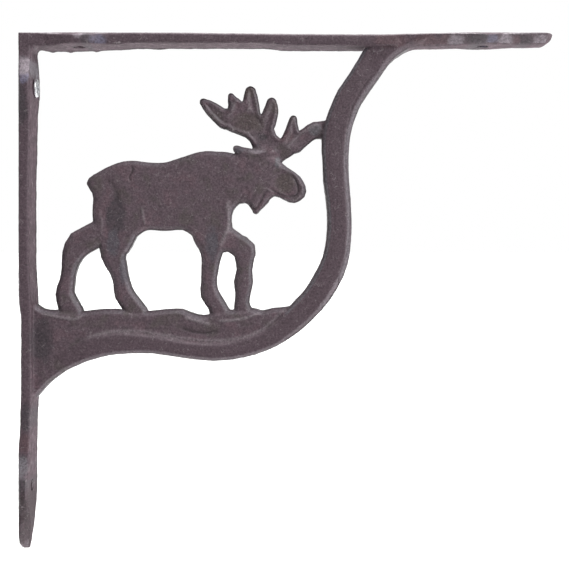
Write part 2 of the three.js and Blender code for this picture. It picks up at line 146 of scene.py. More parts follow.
def curveThrough(points):
    # A smooth line through a few points
    steps = 6
    padded = [points[0], *points, points[-1]]
    line = []
    for before, start, end, after in zip(padded, padded[1:], padded[2:], padded[3:]):
        a, b, c, d = (np.array(point, float) for point in (before, start, end, after))
        for step in range(steps):
            t = step / steps
            line.append(0.5 * (2 * b + (c - a) * t + (2 * a - 5 * b + 4 * c - d) * t ** 2
                               + (3 * b - a - 3 * c + d) * t ** 3))
    line.append(np.array(points[-1], float))
    return np.array(line)


def distanceToEdge(points, normals):
    # Distance in mm, seen from the side, from each point to the nearest upright side wall
    upright = np.abs(normals[:, 1]) < casting["sideSlope"]
    steep = np.where(upright & (insideFrame(points) > 0.5))[0]
    tree = kdtree.KDTree(len(steep))
    for count, index in enumerate(steep):
        tree.insert((points[index, 0], 0, points[index, 2]), count)
    tree.balance()
    return np.array([tree.find((x, 0, z))[2] for x, y, z in points]) / mm


def distanceTo(line, flat):
    # Nearest distance from each flat point to a line, and how far along it that is, 0 to 1
    nearest = np.full(len(flat), np.inf)
    along = np.zeros(len(flat))
    lengths = np.linalg.norm(np.diff(line, axis=0), axis=1)
    total = lengths.sum()
    done = 0
    for start, end, length in zip(line, line[1:], lengths):
        way = (end - start) / max(length, 1e-9)
        reach = np.clip((flat - start) @ way, 0, length)
        gap = np.linalg.norm(flat - start - reach[:, None] * way, axis=1)
        closer = gap < nearest
        nearest[closer] = gap[closer]
        along[closer] = (done + reach[closer]) / total
        done += length
    return nearest, along


# The casting

casting = {
    "voxel": 0.42,
    "softenings": 2,
    "triangles": 190000,
    # Height and size of the sand-cast skin's unevenness
    "waves": (0.35, 8.0),
    "dimples": (0.14, 2.0),
    "grain": (0.06, 0.8),
    # Where the straps end and the figure begins, in from the back and the top
    "strapDepth": (6.4, 7.2),
    # Half width and line of each place where parts of the figure run into each other
    "joints": [
        (4.5, [(94.5, 59.0), (92.5, 50.0), (96.5, 40.5)]),
        (2.5, [(101.5, 60.8), (108.0, 60.0), (117.0, 62.0)]),
        (3.0, [(106.0, 40.5), (113.0, 41.5)]),
        (4.0, [(141.0, 76.8), (140.3, 73.0), (139.6, 69.5)]),
        (5.5, [(106.5, 65.4), (112.0, 64.5), (117.8, 64.0), (119.2, 62.0), (117.0, 60.5)])],
    "steps": [
        (2.8, [(109.8, 64.9), (112.0, 64.5), (116.0, 64.1), (118.3, 63.4), (118.0, 62.0)]),
        (2.4, [(140.2, 73.8), (139.9, 71.4)])],
    "jointSmoothings": 70,
    "stepSmoothings": 40,
    "growth": 0.15,
    "antlerGrowth": 0.15,
    # The antler: height (z) of its foot, how far out (x) its brow tine goes, half thickness
    "antlerFoot": (64.0, 69.0),
    "antlerTip": (134.0, 139.0),
    "antlerLevel": 2.9,
    "antlerEdge": 1.1,
    "rimWidth": 1.3,
    "rimCrest": (0.15, 0.6),
    "rimToHollow": (0.3, 1.4),
    "palmDepth": 0.45,
    # The muzzle's hollow: middle (x, z) and reach, and the shares of the reach over which it fades
    "muzzle": (124.5, 48.5, 7.5),
    "muzzleFade": (0.6, 1.3),
    "muzzleDepth": 0.75,
    "edgeFall": 0.5,
    "edgeWidth": (0.8, 2.4),
    # The figure lies inside these, and this far from the brace
    "figureWithin": (148.0, -24.0),
    "besideBrace": (1.0, 4.0),
    # How far a normal turns to the side of the bracket: upright walls, and from wall to face
    "sideSlope": 0.45,
    "faceSlope": (0.35, 0.8),
    # A relief line reaches this many half widths out; its ends are this share of its length, and
    # this share of its height stays there
    "reliefReach": 3,
    "reliefEnds": 0.12,
    "reliefLeast": 0.25,
}


def insideFrame(points):
    # 1 on the brace, ground and moose, 0 on the two straps
    top = cadBox[1][2] / mm
    depth = np.minimum(points[:, 0] / mm, top - points[:, 2] / mm)
    return ease(*casting["strapDepth"], depth)


def antlerShare(points):
    # 1 on the antler, 0 on the head below it and on the brace beside it
    above = ease(*casting["antlerFoot"], points[:, 2] / mm)
    return above * (1 - ease(*casting["antlerTip"], points[:, 0] / mm)) * insideFrame(points)


def makeCasting():
    piece = duplicateNode("bracket_casting", "sandCastIron")
    addModifier(piece, "REMESH", mode="VOXEL", voxel_size=casting["voxel"] * mm, adaptivity=0)
    addModifier(piece, "SMOOTH", factor=0.5, iterations=casting["softenings"])
    points = readPoints(piece)
    growth = casting["growth"] + casting["antlerGrowth"] * antlerShare(points)
    writePoints(piece, points + readNormals(piece) * growth[:, None] * mm)
    for name in ("waves", "dimples", "grain"):
        height, size = casting[name]
        texture = bpy.data.textures.new(name, "CLOUDS")
        texture.noise_scale = size * mm
        texture.noise_depth = 2
        addModifier(piece, "DISPLACE", texture=texture, strength=height * mm, mid_level=0.5)
    return piece


def smoothAlong(piece, name, lines, repeats, **axes):
    flat = readPoints(piece)[:, [0, 2]] / mm
    weights = np.zeros(len(flat))
    for width, line in lines:
        gap = distanceTo(curveThrough(line), flat)[0]
        weights = np.maximum(weights, 1 - ease(0.5 * width, width, gap))
    group = piece.vertex_groups.new(name=name)
    levels = 10
    for level in range(1, levels + 1):
        near = np.where(np.round(weights * levels) == level)[0]
        group.add(near.tolist(), level / levels, "REPLACE")
    addModifier(piece, "SMOOTH", factor=0.5, iterations=repeats, vertex_group=name, **axes)


def levelSteps(piece):
    # Runs the overlapping parts of the figure into each other: small steps well inside it every way,
    # then the faces alone, so that the outline stays
    smoothAlong(piece, "steps", casting["steps"], casting["stepSmoothings"])
    smoothAlong(piece, "joints", casting["joints"], casting["jointSmoothings"], use_x=False, use_z=False)


# Low relief on both faces: height and half width, then a line of points (x, z).
# A ridge has a height above nothing, a groove one below.
reliefLines = {
    "thighFold": (0.4, 0.6, [(56.0, 37.1), (56.6, 33.9), (57.8, 28.3)]),
    "hindFold": (0.3, 0.8, [(36.4, 35.8), (37.6, 31.1), (37.6, 27.4), (37.1, 23.7)]),
    "rumpCrease": (-0.4, 0.6, [(52.0, 56.2), (51.8, 53.4), (50.4, 51.1), (51.3, 48.8)]),
    "rumpHollow": (-0.3, 1.6, [(39.0, 51.0), (42.5, 47.5), (45.0, 43.0), (44.0, 38.0)]),
    "neckEdge": (0.5, 1.3, [(97.4, 41.3), (96.2, 37.6), (97.1, 33.0), (97.1, 29.2), (95.5, 25.0),
                            (93.6, 20.9), (92.7, 17.6)]),
    "earRidge": (0.3, 1.3, [(105.0, 61.9), (108.5, 62.5), (111.0, 63.4), (113.4, 64.2)]),
    "earCrease": (-0.3, 0.6, [(107.5, 60.4), (110.5, 61.0), (113.8, 62.4), (115.2, 64.4)]),
    "browHollow": (-0.25, 1.0, [(113.5, 69.0), (114.5, 71.0)]),
    "eyeRidge": (0.35, 0.9, [(120.2, 59.5), (120.4, 57.2), (120.6, 54.4)]),
    "noseRim": (0.3, 0.8, [(122.0, 56.2), (126.7, 53.2), (129.9, 49.2), (131.1, 45.1), (129.5, 41.6),
                           (125.8, 40.4), (121.6, 41.3), (117.8, 42.7), (115.1, 44.6)]),
    "noseGroove": (-0.45, 0.6, [(123.0, 54.4), (126.7, 51.8), (128.8, 47.9), (129.1, 44.6), (127.9, 42.4),
                                (124.8, 42.0), (120.6, 43.3), (116.9, 45.1), (114.6, 46.2)]),
    "dewlapGroove": (-0.45, 0.6, [(106.2, 39.0), (108.1, 36.7), (109.4, 36.2), (111.1, 38.7),
                                  (113.8, 44.1)]),
    "tineOneRim": (0.3, 0.8, [(84.8, 85.8), (88.3, 81.6), (93.0, 77.4), (98.3, 74.1), (103.4, 71.8),
                              (106.7, 69.3)]),
    "tineOneGroove": (-0.35, 0.7, [(86.6, 84.4), (90.6, 79.9), (95.2, 76.2), (100.4, 73.4),
                                   (104.8, 71.0)]),
    "tineTwoRidge": (0.35, 0.9, [(95.0, 79.0), (97.4, 80.4), (99.2, 83.7), (100.2, 87.9)]),
    "tineThreeRidge": (0.4, 0.9, [(106.2, 91.0), (106.0, 86.9), (106.2, 83.2), (104.8, 81.0)]),
    "tineThreeFork": (0.3, 0.8, [(106.2, 83.2), (108.4, 81.2)]),
    "tineFourRidge": (0.35, 0.9, [(112.2, 76.4), (114.6, 80.0), (116.5, 83.7), (116.9, 86.9)]),
    "tineFourRight": (0.3, 1.0, [(116.0, 69.3), (116.9, 73.9), (118.2, 79.5), (119.0, 84.2)]),
    "tineFourHollow": (-0.25, 0.8, [(113.6, 72.4), (115.2, 77.2), (117.0, 81.0)]),
    "tineFiveRidge": (0.35, 0.9, [(121.1, 65.5), (124.4, 69.3), (126.0, 73.9), (126.5, 78.6)]),
    "browTineRidge": (0.35, 1.1, [(122.5, 63.6), (126.7, 68.1), (129.9, 71.1), (134.6, 74.3),
                                  (139.3, 76.2)]),
    "palmGroove": (-0.25, 0.8, [(109.9, 81.4), (110.9, 77.6), (112.3, 74.4)]),
    "groundRidgeOne": (0.5, 0.8, [(8.5, -12.2), (13.6, -13.1), (20.6, -14.5), (25.2, -15.0),
                                  (29.9, -12.4)]),
    "groundRidgeTwo": (0.55, 0.9, [(75.8, -14.0), (82.5, -15.9), (88.5, -17.5)]),
    "groundRidgeThree": (0.5, 0.8, [(90.9, -15.7), (96.4, -15.7), (102.0, -15.0), (106.7, -13.8),
                                    (111.3, -11.7)]),
    "webHollow": (-0.4, 0.9, [(74.1, -18.7), (78.8, -20.5), (85.8, -21.5), (92.7, -20.5)]),
    "bandEdge": (0.4, 1.0, [(24.7, -26.0), (32.6, -23.1), (40.0, -21.1), (46.5, -20.5), (55.7, -20.7),
                            (62.7, -21.8), (69.9, -23.1), (77.1, -24.1), (84.0, -24.8), (89.6, -25.0),
                            (96.5, -24.6), (104.7, -23.1), (111.1, -20.5), (115.1, -17.6), (120.0, -13.0),
                            (123.9, -9.5), (128.1, -6.0)]),
    "braceInnerLine": (-0.15, 0.45, [(154.0, 98.7), (149.9, 90.4), (147.1, 83.4), (144.5, 76.5),
                                     (143.4, 69.5), (142.9, 61.2), (143.4, 51.9), (144.3, 42.6),
                                     (145.2, 34.8), (145.7, 28.7), (145.2, 21.8), (143.6, 14.8),
                                     (141.0, 7.9), (137.8, 1.8), (134.1, -4.2), (129.9, -8.8),
                                     (125.3, -13.5), (120.6, -17.6), (115.1, -21.8), (109.1, -24.6),
                                     (102.1, -26.2), (95.1, -26.7), (88.2, -26.4)]),
    "braceOuterLine": (-0.3, 0.5, [(168.4, 103.4), (162.8, 97.4), (158.2, 90.9), (154.7, 84.4),
                                   (152.6, 77.4), (151.5, 70.5), (151.0, 63.5), (151.0, 56.6),
                                   (151.7, 49.6), (152.4, 42.6), (152.8, 35.7), (152.9, 28.7),
                                   (152.4, 21.8), (151.5, 16.2), (149.9, 10.7), (147.8, 5.6),
                                   (144.8, 0.0)]),
}


def figureShare(flat):
    # 1 on the moose and the ground, 0 on the brace and near it
    right, lowest = casting["figureWithin"]
    beside = curveThrough(reliefLines["braceInnerLine"][2])
    gap = distanceTo(beside, flat)[0]
    return ease(*casting["besideBrace"], gap) * (flat[:, 0] < right) * (flat[:, 1] > lowest)


def reliefAt(flat):
    rise = np.zeros(len(flat))
    least = casting["reliefLeast"]
    for height, width, line in reliefLines.values():
        low = np.min(line, axis=0) - casting["reliefReach"] * width
        high = np.max(line, axis=0) + casting["reliefReach"] * width
        near = np.where(np.all((flat > low) & (flat < high), axis=1))[0]
        gap, along = distanceTo(curveThrough(line), flat[near])
        ends = ease(0, casting["reliefEnds"], along) * ease(0, casting["reliefEnds"], 1 - along)
        rise[near] += height * np.exp(-(gap / width) ** 2) * (least + (1 - least) * ends)
    return rise


def hollowShare(gap):
    # 0 on the rounded rim along an edge, 1 in the hollow inside it
    start, end = casting["rimToHollow"]
    return ease(casting["rimWidth"] + start, casting["rimWidth"] + end, gap)


def carve(piece):
    points = readPoints(piece)
    normals = readNormals(piece)
    flat = points[:, [0, 2]] / mm
    gap = distanceToEdge(points, normals)
    facing = ease(*casting["faceSlope"], np.abs(normals[:, 1])) * insideFrame(points)
    side = np.sign(points[:, 1])
    height = np.abs(points[:, 1]) / mm

    # Antler: one rounded rim all round, the palm hollow inside it
    edge = 1 - ease(0, casting["antlerEdge"], gap)
    rise, width = casting["rimCrest"]
    crest = rise * np.exp(-((gap - casting["rimWidth"]) / width) ** 2)
    antler = casting["antlerLevel"] - edge + crest - casting["palmDepth"] * hollowShare(gap)
    share = antlerShare(points) * facing
    height += (antler - height) * share

    # Rounded edges on the ground and the moose; the brace keeps its own
    figure = facing * (1 - share) * figureShare(flat)
    height -= casting["edgeFall"] * figure * (1 - ease(*casting["edgeWidth"], gap))

    # Muzzle: a hollow that runs out towards the cheek
    x, z, reach = casting["muzzle"]
    inner, outer = casting["muzzleFade"]
    near = 1 - ease(inner * reach, outer * reach, np.hypot(flat[:, 0] - x, flat[:, 1] - z))
    height -= casting["muzzleDepth"] * near * facing * hollowShare(gap)

    height += facing * reliefAt(flat)
    points[:, 1] = side * height * mm
    writePoints(piece, points)


# Burrs and knocks on the straps' edges: where (x, y, z), which way it goes and by how much, its reach
knocks = [
    ((12.4, 9.0, 111.8), (0, 0, -0.6), (1.2, 2, 2)),
    ((20.9, 9.0, 111.8), (0, 0, -0.7), (1.4, 2, 2)),
    ((33.1, 9.0, 112.0), (0, 0, -0.6), (1.5, 2, 2)),
    ((63.0, 9.0, 112.0), (0, 0, -0.4), (3.0, 2, 2)),
    ((152.8, -4.0, 109.6), (-0.8, 0, -0.6), (1.2, 4, 1.2)),
    ((247.0, 0.0, 113.2), (-1.2, 0, 0.2), (3, 30, 2.0)),
    ((5.0, 0.0, -111.0), (1.2, 0, 0), (3.5, 40, 13)),
    ((6.8, 9.0, 110.5), (-0.9, 0, 0.9), (2.6, 7, 2.6)),
    ((7.6, 9.0, 100.5), (0.5, 0, 0), (2, 2, 2.5)),
    ((7.0, 9.0, 60.0), (0.4, 0, 0), (2, 2, 4)),
    ((7.0, 9.0, 42.0), (0.4, 0, 0), (2, 2, 3)),
    ((6.6, 9.0, 20.0), (0.4, 0, 0), (2, 2, 5)),
]


def knock(piece):
    points = readPoints(piece)
    for middle, way, reach in knocks:
        away = np.linalg.norm((points / mm - middle) / reach, axis=1)
        points += np.exp(-away[:, None] ** 2) * np.array(way) * mm
    writePoints(piece, points)


def keepInBox(piece):
    low, high = (np.array(corner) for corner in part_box("bracket_casting"))
    writePoints(piece, np.clip(readPoints(piece), low, high))


def thin(piece, most):
    piece.data.calc_loop_triangles()
    count = len(piece.data.loop_triangles)
    if count > most:
        addModifier(piece, "DECIMATE", ratio=most / count)


# Tones of the paint

# Patches of other tones, laid on in this order: middle (x, z) and reach (x, z).
# The dark patches are painted shade on the lugs' lower and left halves, in corners and in creases;
# the grey, blue, violet and pale patches are painted highlights, mostly on the lugs' upper flanks;
# the last kind is a painted sheen along the straps' top edge, with pale strips by the lower wall hole
# and down the wall strap's back edge. The deep patch darkens the wall strap's lower end.
stainsAndPaintedLight = {
    "dark": [((44.3, 33.0), (6, 13)), ((112.0, 69.8), (4, 2.5)), ((1.5, 83.9), (4, 12)),
             ((31.3, 114.5), (4, 4)), ((212.0, 114.2), (7, 3.5)), ((234.0, 114.2), (5, 3)),
             ((2.0, -91.0), (4, 5)), ((10.0, -25.0), (7, 14)), ((3.5, -60.0), (4, 9)),
             ((97.0, 84.5), (3, 3.5))],
    "deep": [((4.0, -108.0), (12, 19))],
    "olive": [((123.0, 48.0), (6, 6)), ((105.0, 77.0), (9, 6)), ((106.0, 91.0), (4, 4)),
              ((118.5, 84.0), (4, 4))],
    "blue": [((43.0, 20.5), (4, 8)), ((48.0, 8.0), (3, 9)), ((89.0, 20.0), (4, 11)),
             ((110.6, 65.9), (1.2, 1)), ((101.5, 63.4), (3, 2)), ((29.5, 0.0), (3, 12))],
    "grey": [((119.5, 58.0), (1.8, 3.5)), ((136.8, 73.5), (4, 4)), ((2.0, -82.7), (3.5, 7)),
             ((6.8, 101.0), (2.2, 8))],
    "violet": [((2.5, 96.5), (6, 4)), ((36.9, 113.8), (5, 4)), ((218.6, 114.0), (4, 3))],
    "red": [((172.2, 113.8), (11, 4)), ((188.3, 113.8), (8, 4)), ((197.5, 113.8), (4, 4)),
            ((229.6, 114.2), (3, 3)), ((2.9, -72.0), (5, 6)), ((123.0, 70.0), (5, 4))],
    "pale": [((109.5, 62.9), (4.5, 1.3)), ((2.5, 102.0), (6, 6)), ((27.7, 116.5), (3, 3)),
             ((202.0, 113.8), (5, 4)), ((225.0, 113.8), (5, 4)), ((241.5, 113.8), (5, 4)),
             ((3.5, -119.5), (4, 2.5))],
    "bareAndPaintedSheen": [((24.0, 117.5), (18, 1.4)), ((218.0, 117.5), (32, 1.4)), ((5.3, -93.0), (1.5, 13)),
             ((0.0, -18.0), (0.9, 40))],
}
patchesOverEdges = ("dark", "deep", "grey")

straps = {
    "wallHole": 93.0,
    "shelfHoles": (26.5, 215.5),
    "holeEdge": (2.6, 3.1),
    "holeTone": 1.3,
    "corner": 12.0,
    "halfWidth": 9.0,
    "lugSwell": 3.5,
    "lugReach": 10.0,
    "farEdge": (4.0, 2.0),
}

# From which value to which each tone fades in: normals from side wall to face, and millimetres
fades = {
    "wallToFace": (0.15, 0.45),
    "seamWidth": (2.0, 3.4),
    "outlineWidth": (0.2, 0.7),
    "wallToSlope": (0.3, 0.5),
    "slopeToFace": (0.8, 0.96),
    "slopeWidth": (1.5, 3.0),
    "litFromRight": (-0.1, 0.5),
    "litFromAbove": (-0.6, -0.2),
    "braceLeft": (0.05, 0.35),
    "frameDepth": (4.8, 5.8),
    "strapFace": (0.3, 0.7),
    "reliefFace": (0.5, 0.8),
    "upward": (0.0, 0.4),
    "patchEdge": (0.4, 1.2),
}

# How strong the dark outline, a painted shade, is where it looks down, and how much less where it looks up
outlineShade = (0.7, 0.5)

# How much of the painted highlight a slope keeps: turned left, turned down, and more on the brace's left;
# a slope that looks up counts for this share of one that looks right
slopeTone = {
    "left": 0.3,
    "down": 0.2,
    "braceLeft": 0.7,
    "up": 0.3,
}


def fade(name, value):
    return ease(*fades[name], value)


# Share of the patches of one kind: stains, painted shade or painted highlights
def patchShare(patches, flat):
    share = np.zeros(len(flat))
    for middle, reach in patches:
        away = np.linalg.norm((flat - middle) / reach, axis=1)
        share = np.maximum(share, 1 - fade("patchEdge", away))
    return share


def holeShadeAndEdgeGrimeShare(points):
    # 1 in the four screw holes, which is painted shade inside them, and along the rough far edge of the
    # straps, which are wider at the holes
    x, y, z = points.T / mm
    inner, outer = straps["shelfHoles"]
    besideShelfHole = np.minimum(np.abs(x - inner), np.abs(x - outer))
    besideWallHole = np.abs(np.abs(z) - straps["wallHole"])
    beside = np.where(x > straps["corner"], besideShelfHole, besideWallHole)
    halfWidth = straps["halfWidth"] + straps["lugSwell"] * np.exp(-(beside / straps["lugReach"]) ** 2)
    start, end = straps["farEdge"]
    holes = straps["holeTone"] * (1 - ease(*straps["holeEdge"], np.hypot(beside, y)))
    return np.maximum(ease(halfWidth - start, halfWidth - end, y), holes)


def markTones(piece):
    # What the paint needs to know, each about 0 to 1: the dark rough seam round the sides, where the mould
    # parted, which is also painted shade on the side walls, with a dark outline along the edges, painted
    # shade that is stronger where they look down; the slopes beside it, a painted highlight where they
    # face right and up; the straps' inner faces, with painted shade in the screw holes and a dark rough
    # far edge; the relief with 0.5 as its level; and the patches of stains, painted shade and painted
    # highlights
    points = readPoints(piece)
    normals = readNormals(piece)
    flat = points[:, [0, 2]] / mm
    facing = np.abs(normals[:, 1])
    depth = np.abs(points[:, 1]) / mm
    inside = insideFrame(points)
    gap = distanceToEdge(points, normals)
    brace = 1 - figureShare(flat)

    # Painted shade: the side walls about the mould seam darken, and so does a thin outline along the
    # edges, more where they look down
    seamAndSideShade = (1 - fade("wallToFace", facing)) * (1 - fade("seamWidth", depth))
    most, less = outlineShade
    outline = (most - less * fade("upward", normals[:, 2])) * (1 - fade("outlineWidth", gap))
    # Painted highlight on the slopes, strongest where they face right and up, and on the brace's left
    # slopes
    sloping = fade("wallToSlope", facing) * (1 - fade("slopeToFace", facing))
    left, down = slopeTone["left"], slopeTone["down"]
    lit = left + (1 - left) * fade("litFromRight", normals[:, 0] + slopeTone["up"] * normals[:, 2])
    lit = np.maximum(lit, brace) * (down + (1 - down) * fade("litFromAbove", normals[:, 2]))
    lit += slopeTone["braceLeft"] * brace * fade("braceLeft", -normals[:, 0])
    onFace = fade("strapFace", facing)
    tones = {
        "seamAndSideShade": inside * np.maximum(seamAndSideShade, outline),
        "slopeHighlight": inside * sloping * lit * (1 - fade("slopeWidth", gap)),
        "frame": fade("frameDepth", depth),
        "inner": (1 - inside) * (1 - onFace),
        "holeShadeAndEdgeGrime": (1 - inside) * (1 - onFace) * holeShadeAndEdgeGrimeShare(points),
        "relief": np.clip(0.5 + reliefAt(flat) * fade("reliefFace", facing), 0, 1),
    }
    for kind, patches in stainsAndPaintedLight.items():
        tones[kind] = patchShare(patches, flat)
        if kind not in patchesOverEdges:
            tones[kind] *= onFace
    for name, values in tones.items():
        layer = piece.data.attributes.new(name, "FLOAT", "POINT")
        layer.data.foreach_set("value", values)


ironCasting = makeCasting()
print("casting remeshed:", len(ironCasting.data.polygons), "faces")
levelSteps(ironCasting)
carve(ironCasting)
knock(ironCasting)
thin(ironCasting, casting["triangles"])
keepInBox(ironCasting)
markTones(ironCasting)
pickOnly(ironCasting)
bpy.ops.object.shade_smooth()
print("casting carved:", len(ironCasting.data.polygons), "faces")


# The screw

screw = {
    "headRadius": 4.3,
    "headHeight": 1.5,
    "headRounding": 0.74,
    "roundingSteps": 8,
    "headSides": 64,
    "shankRadius": 2.2,
    "shankSides": 32,
    "shankInHead": 0.4,
    # The cross recess: length, width and depth
    "recess": (4.4, 1.1, 0.8),
    "sharpFrom": 0.6,
}


def addCylinder(name, radius, start, end, middle, sides):
    # A round bar along X
    bpy.ops.object.select_all(action="DESELECT")
    bpy.ops.mesh.primitive_cylinder_add(
        vertices=sides, radius=radius, depth=end - start,
        location=((start + end) / 2, middle.y, middle.z), rotation=(0, np.pi / 2, 0))
    piece = newest(name)
    putInMesh(piece)
    return piece


def joinOrCut(piece, other, operation):
    addModifier(piece, "BOOLEAN", operation=operation, object=other, solver="EXACT")
    bpy.data.objects.remove(other)


def makeScrew():
    low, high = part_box("wall_screw")
    middle = (low + high) / 2
    seat = high.x - screw["headHeight"] * mm
    head = addCylinder("zincScrew", screw["headRadius"] * mm, seat, high.x, middle, screw["headSides"])
    addModifier(head, "BEVEL", width=screw["headRounding"] * mm, segments=screw["roundingSteps"],
                limit_method="ANGLE")
    shankEnd = seat + screw["shankInHead"] * mm
    shank = addCylinder("shank", screw["shankRadius"] * mm, low.x, shankEnd, middle, screw["shankSides"])
    joinOrCut(head, shank, "UNION")
    length, width, depth = (size * mm for size in screw["recess"])
    for across, up in ((length, width), (width, length)):
        bpy.ops.object.select_all(action="DESELECT")
        bpy.ops.mesh.primitive_cube_add(size=1, location=(high.x, middle.y, middle.z))
        cutter = newest("recess")
        cutter.scale = (2 * depth, across, up)
        putInMesh(cutter)
        joinOrCut(head, cutter, "DIFFERENCE")
    pickOnly(head)
    bpy.ops.object.shade_smooth_by_angle(angle=screw["sharpFrom"])
    return head


zincScrew = makeScrew()
print("screw made:", len(zincScrew.data.polygons), "faces")


# Materials

def toLinear(code):
    # sRGB hex to the linear colour that the sockets take
    parts = [int(code[i:i + 2], 16) / 255 for i in (1, 3, 5)]
    return [part / 12.92 if part <= 0.04045 else ((part + 0.055) / 1.055) ** 2.4 for part in parts] + [1.0]


def newMaterial(name):
    material = bpy.data.materials.new(name)
    material.use_nodes = True
    return material, material.node_tree, material.node_tree.nodes["Principled BSDF"]


def addNode(tree, kind, inputs=None, **settings):
    # A node with its settings; an input takes another node's output, an sRGB hex colour or a number
    node = tree.nodes.new("ShaderNode" + kind)
    for key, value in settings.items():
        setattr(node, key, value)
    for socket, value in (inputs or {}).items():
        if isinstance(value, bpy.types.NodeSocket):
            tree.links.new(value, node.inputs[socket])
        else:
            node.inputs[socket].default_value = toLinear(value) if isinstance(value, str) else value
    return node


ironPaint = {
    "paint": "#6c5c64",
    "patchRed": "#725e66",
    "patchOlive": "#655a5c",
    # The patch colours below: the dark one is painted shade; the blue, grey, violet and pale ones are
    # painted highlights; the last one is a painted sheen
    "dark": "#554c52",
    "deep": "#46383d",
    "olive": "#645858",
    "blue": "#645e66",
    "grey": "#7c777d",
    "violet": "#736d80",
    "red": "#6c565c",
    "pale": "#978c94",
    "bareAndPaintedSheen": "#b5adb2",
    "frame": "#65555d",
    # Painted highlight on slopes that face the light
    "slopeHighlight": "#7a747b",
    "inner": "#524249",
    "innerPale": "#67545d",
    # Painted shade on the side walls, along the edges and in the screw holes, with the mould seam and the
    # straps' rough far edge
    "seamAndSideShade": "#2f292c",
    # Painted highlight on the ridges, and painted shade in the grooves
    "ridgeHighlight": "#90858a",
    "grooveShade": "#433a3e",
    "edge": "#9a9093",
    "speck": "#c0b3b6",
    "scuffed": "#92868b",
    # Size, detail and roughness of each pattern
    "patterns": {
        "blotches": (7.0, 2.0, 0.55),
        "clouds": (3.0, 3.0, 0.6),
        "mottles": (0.9, 4.0, 0.65),
        "crooked": (3.5, 3.0, 0.55),
        "sand": (0.7, 1.0, 0.55),
        "grit": (0.7, 4.0, 0.55),
    },
    # Colour, strength, and the tones or patterns that spread it, each with the level where it starts
    # and the one where it is full; a tone without levels is used as it is
    "underShade": [
        ("patchRed", 1.0, ("blotches", 0.5, 0.7)),
        ("patchOlive", 1.0, ("blotches", 0.5, 0.3)),
        ("frame", 1.0, ("frame", 0.0, 1.2)),
        ("inner", 1.0, ("inner",)),
        # Painted highlight on slopes
        ("slopeHighlight", 0.6, ("slopeHighlight",)),
        # The patches: stains, painted shade and painted highlights
        *((kind, 1.0, (kind + "Cloudy", 0.1, 0.55)) for kind in stainsAndPaintedLight),
        # Painted shade in the screw holes, and the straps' dark rough far edge
        ("seamAndSideShade", 1.0, ("holeShadeAndEdgeGrime", 0.1, 1.3)),
        # Painted highlight on ridges and painted shade in grooves
        ("ridgeHighlight", 1.0, ("relief", 0.55, 1.15)),
        ("grooveShade", 1.0, ("relief", 0.45, -0.1)),
        ("edge", 1.0, ("pointed", 0.53, 0.62), ("mottles", 0.4, 0.6)),
        # Painted shade on the side walls and along the edges, with the mould seam
        ("seamAndSideShade", 1.0, ("seamAndSideShade",), ("mottles", 0.3, 0.5)),
    ],
    "overShade": [
        ("scuffed", 1.0, ("offMiddle", 0.018, 0.0), ("clouds", 0.52, 0.6)),
        ("speck", 1.0, ("sand", 0.77, 0.84)),
    ],
    "innerClouds": [("innerPale", 1.0, ("clouds", 0.38, 0.62))],
    "shadeLevels": (0.25, 0.75),
    "shade": (0.4, 1.6),
    "roughness": (0.42, 0.56),
    "innerRoughness": 0.3,
    "bump": (0.7, 0.15),
}


